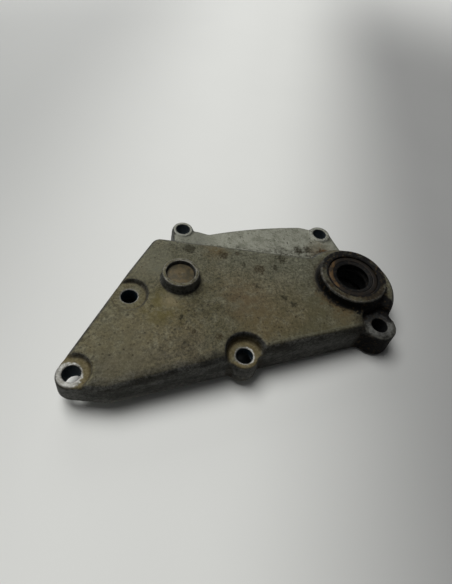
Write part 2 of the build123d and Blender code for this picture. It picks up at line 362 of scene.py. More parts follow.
def applied(source, kind, **settings):
    """The mesh of an object with one modifier applied. The object itself is removed."""
    modifier = source.modifiers.new(kind.lower(), kind)
    for key, value in settings.items():
        setattr(modifier, key, value)
    graph = bpy.context.evaluated_depsgraph_get()
    mesh = bpy.data.meshes.new_from_object(source.evaluated_get(graph))
    bpy.data.objects.remove(source)
    return mesh


def points_of(mesh):
    """The mesh's points, one row each."""
    flat = np.zeros(len(mesh.vertices) * 3)
    mesh.vertices.foreach_get("co", flat)
    return flat.reshape(-1, 3)


def pairs_of(mesh):
    """The two points of each edge."""
    flat = np.zeros(len(mesh.edges) * 2, np.int32)
    mesh.edges.foreach_get("vertices", flat)
    return flat.reshape(-1, 2)


print("a mesh can now be added, changed by a modifier and read as rows of numbers")

# %% Smooth with a weight for each point
def neighbour_mean(points, pairs):
    """Each point's mean neighbour, the step that all smoothing is made of."""
    total = np.zeros_like(points)
    for axis in range(points.shape[1]):
        for a, b in ((0, 1), (1, 0)):
            total[:, axis] += np.bincount(pairs[:, a], points[pairs[:, b], axis], len(points))
    return total / np.maximum(np.bincount(pairs.ravel(), minlength=len(points)), 1)[:, None]


def plan_gap(points, at):
    """Each point's distance in plan from a place, in millimetres."""
    return np.hypot(points[:, 0] / MM - at[0], points[:, 1] / MM - at[1])


def fades(values, end, width):
    """1 well below the end, and falling to 0 at it over this width."""
    return np.clip((end - values) / width, 0, 1)


def rises(values, start, width):
    """0 up to the start, and rising to 1 over this width."""
    return np.clip((values - start) / width, 0, 1)


def cut_by_tool(points):
    """1 where the casting is machined and 0 where its skin is as cast."""
    height = points[:, 2] / MM
    shaft, plug = plan_gap(points, SHAFT), plan_gap(points, PLUG)
    gasket_face = np.clip(1.5 - height / 0.6, 0, 1)
    seats = [fades(plan_gap(points, at), pocket - 0.3, 0.5) for at, seat, pocket in SEATS.values()]
    shaft_face = fades(shaft, 15.6, 0.4) * rises(height, SHAFT_TOP - 2.0, 0.8)
    plug_face = fades(plug, 8.4, 0.4) * rises(height, PLUG_TOP - 1.5, 0.6)
    bores = [fades(shaft, 14.4, 0.4), fades(plug, 6.6, 0.4)]
    return np.max([gasket_face, *seats, shaft_face, plug_face, *bores], axis=0)


print("from", len(SEATS), "seats, two boss faces, two bores and the gasket face")

# %% Remesh, smooth and thin the casting
SKIN_STEP, SKIN_TRIANGLES = 0.36, 190000
ROUNDS, FIRST_ROUNDS = 16, 2
# how far a machined point follows the smoothing, in the first rounds and later
FIRST_GIVE, LATER_GIVE = 0.8, 0.02
skin = frame["nodes"]["cover_casting"].data.copy()
work = bmesh.new()
work.from_mesh(skin)
bmesh.ops.remove_doubles(work, verts=work.verts, dist=1e-6)
work.to_mesh(skin)
work.free()
skin = applied(add_object("skin", skin), "REMESH", mode="VOXEL", voxel_size=SKIN_STEP * MM)
points, pairs = points_of(skin), pairs_of(skin)
soft = 1.0 - cut_by_tool(points)
for done in range(ROUNDS):
    reach = 0.5 * np.maximum(soft, FIRST_GIVE if done < FIRST_ROUNDS else LATER_GIVE)
    points += (neighbour_mean(points, pairs) - points) * reach[:, None]
skin.vertices.foreach_set("co", points.ravel())
faces = len(skin.polygons) * 2
skin = applied(add_object("skin", skin), "DECIMATE", ratio=min(1.0, SKIN_TRIANGLES / faces))
skin.shade_smooth()
print("skin:", faces, "triangles thinned to", sum(len(p.vertices) - 2 for p in skin.polygons))

# %% [markdown]
# ## Edges and hollows
#
# Wear shows on edges that stick out, and painted shade darkens where they fold in. Both are
# measured here once: the mesh is smoothed a little and a lot, and how far each point moves
# along its normal says how proud or how sunk it is. The little smoothing finds sharp edges,
# the large one broad bends and hollows. The paint reads them as attributes.

# %% Measure how proud each point is
def normals_of(mesh):
    flat = np.zeros(len(mesh.vertices) * 3)
    mesh.vertices.foreach_get("normal", flat)
    return flat.reshape(-1, 3)


def proud(mesh, rounds):
    """Height of each point over the mesh smoothed this often, in millimetres."""
    points, pairs = points_of(mesh), pairs_of(mesh)
    smooth = points.copy()
    for _ in range(rounds):
        smooth += (neighbour_mean(smooth, pairs) - smooth) * 0.6
    return ((points - smooth) * normals_of(mesh)).sum(axis=1) / MM


def keep_attribute(mesh, name, values):
    layer = mesh.attributes.new(name, "FLOAT", "POINT")
    layer.data.foreach_set("value", values.astype(np.float32))


EDGE_HEIGHT, BEND_HEIGHT = 0.08, 0.5
fine, broad = proud(skin, 6), proud(skin, 60)
keep_attribute(skin, "edge", np.clip(fine / EDGE_HEIGHT, 0, 1))
keep_attribute(skin, "bend", np.clip(broad / BEND_HEIGHT, 0, 1))
keep_attribute(skin, "hollow", np.clip(-broad / BEND_HEIGHT, 0, 1))
print(f"proud by up to {fine.max():.2f} mm, sunk by up to {-broad.min():.2f} mm")

# %% [markdown]
# ## Old cast aluminium
#
# The real skin is pale metal under a thin brown oil film, freckled with pits, with rust
# stains, black grime round the shaft boss, and bright rings where bolt flanges have rubbed.
# It could be one painted picture, but that would fit one mesh only. Here one material holds
# it in layers: each is a mask made of place, height, facing and noise, and a colour that it
# mixes in. Places and heights are in millimetres. Noise lies close round 0.5, so a step
# from 0.42 to 0.58 spans nearly all of it.

# %% The metal under the dirt
METAL_DARK, METAL_LIGHT, METAL_BLOTCH = (0.105, 0.107, 0.086), (0.190, 0.192, 0.162), (0.070, 0.070, 0.055)
cast = Finish("old cast aluminium")
grain = cast.noise(1.2, detail=6.0, rough=0.85)
sand = cast.step(grain, 0.38, 0.62)
crumbs = cast.noise(1.8, detail=4.0, rough=0.65, seed=9)
mottle = cast.noise(5.0, detail=8.0, rough=0.7, seed=2)
drift = cast.noise(24.0, detail=4.0, rough=0.6, seed=3)
colour = cast.mix(METAL_DARK, METAL_LIGHT, sand)
colour = cast.mix(colour, METAL_BLOTCH, cast.step(mottle, 0.5, 0.66) * 0.6)


def tell(layer):
    """Prints how far the casting's material has grown."""
    print(f"{layer}: {len(cast.tree.nodes)} nodes so far")


tell("metal")

# %% [markdown]
# ## Oil film and pale ledge
#
# Years of oil have left a brown film on the roof, yellower at the left and greyer towards
# the shaft, while the low ledge at the back stays nearly clean. One brown would look like
# paint, so several are mixed by soft noise, and fine sand from the mould shows through.

# %% Brown film on the roof
FILM_BROWN, FILM_WARM = (0.070, 0.063, 0.035), (0.090, 0.074, 0.039)
FILM_LEFT, FILM_RIGHT = (0.102, 0.094, 0.056), (0.090, 0.091, 0.064)
FILM_DARK, FILM_LIGHT = (0.034, 0.030, 0.014), (0.128, 0.120, 0.076)
LEDGE_DULL, LEDGE_PALE = (0.140, 0.142, 0.108), (0.250, 0.253, 0.205)
BACK_WALL_X, BACK_WALL_Y, BACK_WALL = 0.3453, 0.9385, 54.2
over_back = cast.x * BACK_WALL_X + cast.y * BACK_WALL_Y
on_ledge = cast.step(over_back, BACK_WALL, BACK_WALL + 1.2) * cast.step(cast.z, 10.5, 8.0)
to_left = cast.step(cast.x + mottle * 30.0, 15.0, -50.0)
to_right = cast.step(cast.x * 0.7 + cast.y + mottle * 30.0, 38.0, 80.0)
film_tone = cast.mix(FILM_BROWN, FILM_WARM, cast.step(drift, 0.42, 0.58))
film_tone = cast.mix(film_tone, FILM_LEFT, to_left * 0.7)
film_tone = cast.mix(film_tone, FILM_RIGHT, to_right * 0.85)
film_tone = cast.mix(film_tone, FILM_DARK, cast.step(mottle, 0.48, 0.66) * 0.42)
film_tone = cast.mix(film_tone, FILM_LIGHT, cast.step(mottle, 0.48, 0.36) * 0.4)
film_tone = cast.scaled(film_tone, 0.5 + sand)
film = cast.step(mottle + grain * 0.4, 0.42, 0.85)
film_amount = (0.78 + film * 0.22) * (1 - on_ledge * 0.88)
colour = cast.mix(colour, film_tone, film_amount)
pale = cast.mix(LEDGE_DULL, LEDGE_PALE, cast.step(mottle + grain * 0.5, 0.6, 0.85))
colour = cast.mix(colour, pale, on_ledge * 0.75)
tell("film")

# %% [markdown]
# ## Walls and ceiling
#
# The sloped walls are darker and greyer than the roof and streaked by the mould. Their upper
# part is darker still as painted shade, and painted shade creeps over the front bend. A wall
# is told by its normal, which follows the shape by itself, so no line has to be drawn. The
# ceiling of the cavity is told in the same way.

# %% Darker skin and painted shade on the walls
WALL_DARK, WALL_LIGHT, WALL_SPARK = (0.028, 0.029, 0.028), (0.070, 0.071, 0.068), (0.128, 0.129, 0.122)
sides = cast.step(cast.facing_z, 0.99, 0.74)
outside = cast.step(cast.facing_z, -0.1, 0.2)
streaks = cast.noise(4.0, detail=8.0, rough=0.75, seed=8, stretch=(0.4, 1.0, 1.0))
on_plug_boss = cast.near(PLUG, 11.0, 10.0) * cast.step(cast.z, ROOF + 0.5, ROOF + 1.5)
# Painted shade: the walls darker towards their top, but not on the plug boss.
wall_painted_shade = 1 - cast.step(cast.z, 7.0, 11.0) * 0.4 + on_plug_boss
wall_tone_with_shade = cast.mix(WALL_DARK, WALL_LIGHT, cast.step(streaks, 0.4, 0.6))
wall_tone_with_shade = cast.scaled(wall_tone_with_shade, (0.5 + sand) * wall_painted_shade)
wall_tone_with_shade = cast.mix(wall_tone_with_shade, WALL_SPARK, sand * cast.step(streaks, 0.44, 0.58) * 0.45)
colour = cast.mix(colour, wall_tone_with_shade, sides * 0.88)
# Painted shade from the wall creeps over the front bend of the roof.
bend_painted_shade = cast.step(cast.attribute("bend") + (mottle - 0.5) * 0.8, 0.0, 0.6)
bend_painted_shade = bend_painted_shade * cast.step(cast.z, ROOF, ROOF - 0.7) * cast.step(cast.y, 15.0, 9.0)
bend_painted_shade = bend_painted_shade * (1 - cast.near(TIP, 9.5, 7.5)) * (1 - cast.near(FRONT, 8.0, 7.0))
colour = cast.mix(colour, wall_tone_with_shade, bend_painted_shade * 0.65 * (1 - sides) * outside)
tell("walls")

# %% Ceiling of the cavity
CEILING_DARK, CEILING_LIGHT = (0.078, 0.068, 0.046), (0.150, 0.145, 0.125)
ceiling = cast.step(cast.facing_z, -0.3, -0.8)
ceiling_tone = cast.mix(CEILING_DARK, CEILING_LIGHT, cast.step(drift + grain * 0.3, 0.5, 0.8))
colour = cast.mix(colour, ceiling_tone, ceiling * 0.85)
tell("ceiling")

# %% [markdown]
# ## Stains
#
# Where liquid has dried, the roof has large, soft stains. Each has its place in the
# photograph, so they are listed and not left to noise. Each is a soft spot with a
# ragged outline, and coarse noise breaks it up, so that the film shows through.

# %% Broad stains
# middle in plan, radius, colour, strength
STAINS = (
    ((3.5, 52.0), 5.0, (0.094, 0.064, 0.024), 0.6),
    ((7.0, 22.0), 8.0, (0.092, 0.066, 0.036), 0.6),
    ((10.0, 8.0), 9.0, (0.092, 0.072, 0.034), 0.6),
    ((-27.0, 26.0), 7.0, (0.088, 0.074, 0.022), 0.7),
    ((-22.6, 28.6), 3.2, (0.190, 0.160, 0.095), 0.8),
    ((-27.0, 51.0), 9.0, (0.122, 0.121, 0.086), 0.7),
    ((36.0, 6.0), 15.0, (0.068, 0.061, 0.032), 0.7),
    ((-45.0, 13.0), 13.0, (0.118, 0.103, 0.060), 0.5),
    ((46.0, 8.0), 6.0, (0.105, 0.080, 0.042), 0.5),
    ((57.5, 47.5), 5.5, (0.105, 0.070, 0.032), 0.8),
    ((50.0, 30.0), 9.0, (0.040, 0.034, 0.018), 0.5),
    ((-3.0, 67.0), 9.0, (0.085, 0.086, 0.070), 0.7),
)
patchy = (0.35 + cast.step(mottle, 0.4, 0.58) * 0.65) * outside * (1 - sides * 0.85)
for at, radius, tone, strength in STAINS:
    colour = cast.mix(colour, tone, cast.spot(at, radius) * strength * patchy)
tell(f"{len(STAINS)} stains")

# %% [markdown]
# ## Painted highlight on the bend, and dark ear
#
# The roof's front edge has a painted highlight where it bends down near the shaft, and the
# flat of the ear is dark with oil. They could be two more stains, but their outlines follow
# the shape, so the bend is a band of slopes and the ear is a band of heights about its bolt.

# %% Painted highlight on the bend, and dark ear
BEND_HIGHLIGHT, EAR_DARK, EAR_LIGHT = (0.140, 0.137, 0.098), (0.010, 0.010, 0.009), (0.062, 0.062, 0.055)
# Painted highlight along the roof's front bend, near the shaft.
bend_highlight = cast.band(cast.facing_z, 0.86, 0.94, 0.985, 0.997)
bend_highlight = bend_highlight * cast.step(cast.y, 26.0, 16.0) * cast.step(cast.x, -5.0, 15.0)
colour = cast.mix(colour, BEND_HIGHLIGHT, bend_highlight * (0.15 + sand * 0.35))
on_ear = cast.near(EAR, 9.5, 8.5) * cast.band(cast.z, 10.9, 11.2, 12.0, 12.4)
ear_tone = cast.mix(EAR_DARK, EAR_LIGHT, cast.step(mottle + grain * 0.5, 0.66, 0.84))
colour = cast.mix(colour, ear_tone, on_ear * 0.85)
tell("bend and ear")

# %% [markdown]
# ## Small marks
#
# Small, dark, torn marks are left where something has stuck. A round spot would look
# painted, so each is an island of fine noise, which is only lifted over its threshold
# near the mark's middle. Their places are listed, as with the stains.

# %% Small torn marks
DARK, BROWN, RUST = (0.020, 0.018, 0.009), (0.027, 0.020, 0.009), (0.062, 0.032, 0.010)
# middle in plan, radius, colour
MARKS = (
    ((-8.2, 54.6), 3.6, DARK),
    ((5.4, 48.2), 3.2, BROWN),
    ((12.2, 47.9), 1.8, BROWN),
    ((12.9, 41.0), 1.8, DARK),
    ((19.0, 37.0), 3.4, BROWN),
    ((31.2, 40.9), 3.6, DARK),
    ((26.2, 36.5), 2.2, DARK),
    ((14.5, 27.8), 1.4, DARK),
    ((24.3, 19.7), 2.2, DARK),
    ((26.9, 16.2), 2.2, DARK),
    ((-20.6, 20.1), 1.5, DARK),
    ((-17.2, 12.4), 1.6, BROWN),
    ((-8.6, 7.7), 2.0, BROWN),
    ((-30.7, 27.7), 1.2, DARK),
    ((51.6, 50.1), 3.2, DARK),
    ((46.4, 51.1), 3.0, DARK),
    ((58.5, 47.3), 3.4, RUST),
)
shred = cast.noise(1.5, detail=6.0, rough=0.75, seed=14)
for at, radius, tone in MARKS:
    island = cast.step(shred + cast.near(at, radius * 1.5, 0.0) * 0.36, 0.62, 0.8)
    colour = cast.mix(colour, tone, island * outside * (1.0 - sand * 0.45))
tell(f"{len(MARKS)} marks")

# %% [markdown]
# ## Pits, dust and painted shade
#
# Small pores open where the casting has corroded, so they come in fields, thickest along
# the ledge's foot. Tan dust has gathered round the bolt heads, on the floors of their
# pockets, and every inner corner is darkened brown as painted shade. Pores are scattered
# points, and the other two follow heights and the measured hollows, so they stay in place if
# the shape changes.

# %% Pits and freckles
PIT_BROWN = (0.024, 0.019, 0.013)
pits = cast.step(cast.cells(4.2, seed=1), 0.15, 0.06) * cast.step(cast.noise(14.0, seed=5), 0.5, 0.62)
freckles = cast.step(cast.cells(1.9, seed=4), 0.3, 0.14) * cast.step(cast.noise(13.0, seed=6), 0.5, 0.62)
to_ear = cast.step(cast.x, 10.0, 60.0)
by_wall = cast.step(over_back + mottle * 8.0 - to_ear * 6.0, 68.0, 60.0)
by_wall = by_wall * on_ledge * cast.step(crumbs + to_ear * 0.06, 0.5, 0.62)
spots = cast.most(pits, freckles * 0.6, by_wall * 0.8) * outside
colour = cast.mix(colour, PIT_BROWN, spots * 0.85)
tell("pits")

# %% Tan dust in the pockets
DUST_DARK, DUST_LIGHT = (0.085, 0.066, 0.026), (0.150, 0.124, 0.068)
dust = []
for name, strength in (("front", 0.8), ("tip", 0.8), ("rear", 0.25)):
    at, seat, pocket = SEATS[name]
    floor = cast.band(cast.z, seat - 0.8, seat - 0.2, seat + 1.2, seat + 3.2)
    dust.append(cast.near(at, pocket + 1.2, pocket - 0.4) * floor * strength)
dust_tone = cast.mix(DUST_DARK, DUST_LIGHT, sand)
colour = cast.mix(colour, dust_tone, cast.most(*dust) * cast.step(mottle, 0.3, 0.55))
tell("dust")

# %% Painted shade in the corners
HOLLOW_SHADE_BROWN = (0.021, 0.015, 0.006)
# Painted shade: inner corners darkened brown, less near the rear and tip pockets and the plug.
less_hollow_shade = cast.most(*(cast.near(at, 13.0, 10.0) for at in (REAR, TIP, PLUG)))
damp = cast.step(cast.attribute("hollow") + (crumbs - 0.5) * 0.5, 0.2, 0.85) * (1 - less_hollow_shade * 0.75)
colour = cast.mix(colour, HOLLOW_SHADE_BROWN, damp * 0.5)
tell("damp")

# %% [markdown]
# ## Black grime and painted shade
#
# Oil has leaked past the shaft seal for years and baked to a black crust, thickest at the
# foot of the boss and down the ear, with brown showing at its border. In front of the boss,
# on its front side and on the ear's walls, the black is also painted shade. It is several
# masks about the shaft and the ear, bent by noise, and the largest of them counts.

# %% Grime and painted shade round the shaft boss
GRIME_AND_SHADE_BLACK, GRIME_BROWN, HALO_BROWN = (0.0025, 0.0022, 0.002), (0.050, 0.033, 0.014), (0.070, 0.046, 0.018)
BETWEEN_BOSS_AND_EAR = (63.5, 7.6)
from_shaft = cast.away(SHAFT)
lump = crumbs + mottle
bent = lump - 1.0
in_front = cast.step(cast.y + crumbs * 6.0, 29.0, 20.0)
halo = cast.step(from_shaft + bent * 14.0, 21.0, 15.5) * in_front * cast.step(mottle, 0.4, 0.54)
colour = cast.mix(colour, HALO_BROWN, halo * 0.75 * (1 - sides))
# Black at the boss's front foot and front side: grime, and painted shade cast by the boss.
foot = cast.step(from_shaft + bent * 11.0, 17.8, 15.2) * in_front
boss_side = cast.step(from_shaft, 16.6, 15.4) * cast.step(cast.y + crumbs * 6.0, 40.0, 30.0)
by_ear = cast.step(cast.away(BETWEEN_BOSS_AND_EAR) + bent * 5.0, 9.5, 7.5)
below_rim = cast.most(foot, boss_side, by_ear) * cast.step(cast.z, SHAFT_TOP - 0.5, SHAFT_TOP - 1.2)
# Painted shade: the boss's outer rim darker towards the back.
rim_back_shade = cast.step(cast.x * 0.5 + cast.y * 0.87 + mottle * 14.0, 48.0, 62.0)
on_rim = cast.step(from_shaft, 15.4, 14.6) * cast.step(cast.z, SHAFT_TOP - 0.7, SHAFT_TOP - 0.3)
on_rim = on_rim * (0.52 + rim_back_shade * 0.3 + cast.step(mottle, 0.44, 0.56) * 0.3)
black = cast.most(below_rim, cast.step(from_shaft, 12.6, 12.0), on_rim)
tell("grime round the shaft")

# %% Grime and painted shade on and round the ear
# Black low on the ear's walls: grime, and painted shade on walls facing away from the light.
low_on_ear = cast.step(cast.z + crumbs * 3.0, 13.2, 11.2) * sides
low_on_ear = low_on_ear * cast.step(cast.away(EAR) + crumbs * 2.0, 12.0, 10.5)
# A soft darkening of the roof round the ear, darker towards the ear.
round_ear = cast.step(cast.away(EAR) + lump * 4.0, 19.0, 12.5) * 0.7 * outside * (1 - on_ear)
grime_and_shade = cast.most(black, low_on_ear, round_ear) * cast.step(cast.facing_z, -0.6, -0.2)
grime_and_shade_tone = cast.mix(GRIME_AND_SHADE_BLACK, GRIME_BROWN, cast.step(crumbs, 0.53, 0.68) * 0.7)
colour = cast.mix(colour, grime_and_shade_tone, grime_and_shade)
tell("grime on the ear")

# %% [markdown]
# ## Bare metal
#
# Metal shines where hands have worn the high edges, where bolt flanges have turned on
# their seats and where the gasket face is milled. Edges come from the measured attribute.
# Each seat has a ring of its own, because the photograph shows some brighter than others.

# %% Worn edges
WORN_DARK, WORN_LIGHT = (0.090, 0.080, 0.058), (0.205, 0.200, 0.180)
edge = cast.attribute("edge")
speckle = cast.noise(0.9, detail=5.0, rough=0.7, seed=12)
high_rim = cast.step(edge + (crumbs - 0.5) * 1.6, 0.6, 1.3)
high_rim = high_rim * cast.step(cast.z, 14.0, 17.5) * cast.step(from_shaft, 12.2, 13.2)
low_rim = cast.step(edge + (crumbs - 0.5) * 0.8, 0.35, 0.9) * cast.step(cast.z, 1.8, 0.9)
scuff = cast.near(FRONT, 9.6, 8.6) * cast.step(cast.y, -4.0, -6.0) * cast.step(cast.z, 5.0, 2.5)
scuff = scuff * cast.step(crumbs, 0.46, 0.56)
worn = cast.most(high_rim, low_rim * 0.6, scuff * 0.7)
worn_tone = cast.mix(WORN_DARK, WORN_LIGHT, cast.step(speckle + (mottle - 0.5) * 0.8, 0.38, 0.58))
tell("worn edges")

# %% Rubbed seats and the gasket face
BARE_DARK, BARE_LIGHT = (0.16, 0.16, 0.148), (0.47, 0.475, 0.46)
GASKET_DARK, GASKET_LIGHT, GASKET_STAIN = (0.240, 0.236, 0.210), (0.380, 0.378, 0.355), (0.130, 0.108, 0.072)
# middle in plan, radius, how ragged its outline is, strength
RUBBED = {
    "front": (FRONT, 4.3, 0.8, 0.8),
    "rear": (REAR, 4.1, 0.5, 0.7),
    "tip": ((-64.3, 7.6), 5.6, 1.4, 0.7),
    "ear": ((60.7, -0.2), 6.0, 3.0, 0.13),
    "ledge_left": (LEDGE_LEFT, 5.0, 0.8, 0.2),
    "ledge_right": (LEDGE_RIGHT, 5.4, 0.8, 0.2),
}
gasket_side = cast.step(cast.z, 0.35, 0.1) * cast.step(cast.facing_z, -0.7, -0.9)
rubbed = [gasket_side * 0.85]
for name, (middle, reach, ragged, strength) in RUBBED.items():
    seat = SEATS[name][1]
    ring = cast.step(cast.away(middle) + (crumbs - 0.5) * 2 * ragged, reach, reach - 0.8)
    rubbed.append(ring * cast.band(cast.z, seat - 0.5, seat - 0.15, seat + 0.2, seat + 0.5) * strength)
bare = cast.most(*rubbed)
bare_tone = cast.mix(BARE_DARK, BARE_LIGHT, cast.step(speckle + (mottle - 0.5) * 0.6, 0.3, 0.68))
gasket_tone = cast.mix(GASKET_DARK, GASKET_LIGHT, speckle)
gasket_tone = cast.mix(gasket_tone, GASKET_STAIN, cast.step(drift + crumbs * 0.4, 0.68, 0.84) * 0.6)
bare_tone = cast.mix(bare_tone, gasket_tone, gasket_side)
colour = cast.mix(colour, bare_tone, bare * (1 - grime_and_shade * 0.5))
colour = cast.mix(colour, worn_tone, worn * (1 - bare) * (1 - grime_and_shade * 0.9))
tell("bare metal")

# %% [markdown]
# ## Holes
#
# The bolt holes are painted with shade: dark and a little blue, as where only the pale table
# and the sky light reach. Plain black would look punched out, so each bore has a dark blue
# painted shade, told by its distance from the bolt's axis and by its depth under the seat,
# paler on the ledge. The shaft's hole and the ear's are painted black as shade.

# %% Painted shade in the holes
HOLE_SHADE_BLUE, HOLE_SHADE_PALE, HOLE_SHADE_BLACK = (0.021, 0.041, 0.058), (0.060, 0.080, 0.098), (0.008, 0.009, 0.010)
in_shaft = cast.step(from_shaft, 11.2, 10.9)
in_holes = [in_shaft * cast.step(cast.z, 13.8, 13.4)]
for name, (at, seat, pocket) in SEATS.items():
    wall_of_hole = cast.near(at, 3.75 if name == "ear" else 3.55, 3.4)
    in_holes.append(wall_of_hole * cast.step(cast.z, seat - 0.25, seat - 0.8))
# Painted shade in the bores: dark blue, paler on the ledge, black in the shaft's and the ear's holes.
hole_shade_tone = cast.mix(HOLE_SHADE_BLUE, HOLE_SHADE_PALE, on_ledge)
hole_shade_tone = cast.mix(hole_shade_tone, HOLE_SHADE_BLACK, cast.most(in_shaft, cast.near(EAR, 6.0, 5.0)))
colour = cast.mix(colour, hole_shade_tone, cast.most(*in_holes) * 0.92)
tell("holes")

# %% [markdown]
# ## Gloss and relief
#
# Film and grime are dull and hide the metal, bare spots shine. The relief is small: the
# mould's grain, the pits and the crust of the grime, all under half a millimetre. The
# finished material then goes on the skin, which takes the casting's place.

# %% Gloss, relief and the finished skin
shine = cast.most(bare, worn * 0.7)
metal = cast.blend(cast.blend(0.7, 0.3, film_amount), 0.85, shine) * (1 - grime_and_shade * 0.9)
rough = cast.blend(cast.blend(0.55, 0.62, film_amount), 0.42, shine)
rough = cast.blend(rough + (grain - 0.5) * 0.2, 0.7, grime_and_shade)
relief = cast.bump(mottle, 0.35)
relief = cast.bump(grain, 0.22, relief)
relief = cast.bump(1 - spots, 0.15, relief)
relief = cast.bump(crumbs * grime_and_shade, 0.35, relief)
cast_skin = cast.finish(
    Base_Color=colour, Metallic=metal, Roughness=rough, Specular_IOR_Level=0.12, Normal=relief
)
skin.materials.clear()
skin.materials.append(cast_skin)
cover = add_object("cover_skin", skin)
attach(cover, "root")
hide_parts("cover_casting")
tell("cast skin")

# %% [markdown]
# ## Turned and pressed parts
#
# The seal, the plug and the dowels are all round, so each is a profile turned about its own
# axis. Rounding the profile's corners first gives the soft rims of pressed steel and
# moulded rubber, which catch the light as thin rings.

# %% Round a profile and turn it
def rounded(profile, radius, steps=4):
    """A closed profile with each corner cut by a small arc, no larger than its sides allow."""
    result = []
    count = len(profile)
    for i, corner in enumerate(profile):
        corner = np.array(corner, float)
        before = np.array(profile[i - 1]) - corner
        after = np.array(profile[(i + 1) % count]) - corner
        if corner[0] < 1e-6:
            result.append(tuple(corner))
            continue
        reach = min(radius, 0.45 * np.linalg.norm(before), 0.45 * np.linalg.norm(after))
        start = corner + before / np.linalg.norm(before) * reach
        end = corner + after / np.linalg.norm(after) * reach
        for t in np.linspace(0, 1, steps + 1):
            result.append(tuple((1 - t) ** 2 * start + 2 * t * (1 - t) * corner + t**2 * end))
    return result


def turned(name, profile, at, segments=144):
    """A profile of radius and height, in millimetres, turned about an upright axis."""
    angles = np.linspace(0, 2 * math.pi, segments, endpoint=False)
    verts = [
        ((at[0] + r * math.cos(a)) * MM, (at[1] + r * math.sin(a)) * MM, z * MM)
        for a in angles
        for r, z in profile
    ]
    count = len(profile)
    faces = []
    for i in range(segments):
        for j in range(count):
            a, b = i * count, ((i + 1) % segments) * count
            faces.append((a + j, a + (j + 1) % count, b + (j + 1) % count, b + j))
    mesh = bpy.data.meshes.new(name)
    mesh.from_pydata(verts, [], faces)
    work = bmesh.new()
    work.from_mesh(mesh)
    bmesh.ops.remove_doubles(work, verts=work.verts, dist=1e-7)
    bmesh.ops.dissolve_degenerate(work, edges=work.edges, dist=1e-8)
    bmesh.ops.recalc_face_normals(work, faces=work.faces)
    work.to_mesh(mesh)
    work.free()
    mesh.shade_smooth()
    return mesh


def dress(name, mesh, material, node):
    """Puts a finished mesh in the scene in place of its CAD node."""
    mesh.materials.clear()
    mesh.materials.append(material)
    made = add_object(name, mesh)
    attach(made, "root")
    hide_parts(node)
    print(name, len(mesh.polygons), "faces")


# %% [markdown]
# ## Rusty pressed steel
#
# The seal's shell and the core plug are thin steel that has gone brown. Rust is patchy: a
# dark brown ground, orange where it is fresh, and grey where steel still shows. Oil has
# blackened the shell on the side that looks away from the tip. Both pieces need the same
# layers in other tones, so they share one function and not one material.

# %% Rusty steel for the shell and the plug
STEEL_GREY, OIL_BLACK, RIM_SHADE_BLACK = (0.150, 0.135, 0.100), (0.007, 0.006, 0.005), (0.010, 0.008, 0.005)
OIL_X, OIL_Y = 0.95, -0.3


def rusty_steel(name, seed, centre, shade_rim_radius, oily, ground, rust):
    """Rust about a centre, with painted shade at its rim and with oil on one side."""
    steel = Finish(name)
    blotch = steel.noise(2.2, detail=4.0, seed=seed)
    fine = steel.noise(0.4, detail=3.0, rough=0.7, seed=seed + 1)
    tone = steel.mix(ground, rust, steel.step(blotch, 0.42, 0.6))
    tone = steel.mix(tone, STEEL_GREY, steel.step(fine, 0.5, 0.7) * (0.4 - oily * 0.35))
    across = steel.x * OIL_X + steel.y * OIL_Y
    middle = centre[0] * OIL_X + centre[1] * OIL_Y
    tone = steel.mix(tone, OIL_BLACK, steel.step(across, middle - 9.0, middle - 4.5) * oily)
    # Painted shade: a dark ring at the outer rim, where the piece sits below its bore's edge.
    tone = steel.mix(tone, RIM_SHADE_BLACK, steel.step(steel.away(centre), shade_rim_radius, shade_rim_radius + 0.7) * 0.9)
    relief = steel.bump(fine, 0.05, steel.bump(blotch, 0.06))
    gloss = steel.blend(0.62, 0.45, fine)
    return steel.finish(
        Base_Color=tone, Metallic=0.3, Roughness=gloss, Specular_IOR_Level=0.2, Normal=relief
    )


SHELL_BROWN, SHELL_RUST = (0.026, 0.018, 0.010), (0.082, 0.047, 0.018)
PLUG_BROWN, PLUG_RUST = (0.046, 0.038, 0.019), (0.084, 0.062, 0.028)
shell_steel = rusty_steel("rusty shell steel", 21, SHAFT, 10.4, 0.92, SHELL_BROWN, SHELL_RUST)
plug_steel = rusty_steel("rusty plug steel", 31, PLUG, 5.1, 0.15, PLUG_BROWN, PLUG_RUST)
print("two rusty steels")

# %% [markdown]
# ## Shaft seal
#
# A shaft seal is a steel shell with a rubber lip moulded to it. From outside one sees the
# shell's flat flange, then the rubber falling away in a soft funnel to the dust lip, and
# deep inside the sealing lip that a coil spring pulls onto the shaft. It could be one
# solid ring, but steel and rubber part along a clear line, so each is a profile of its own.

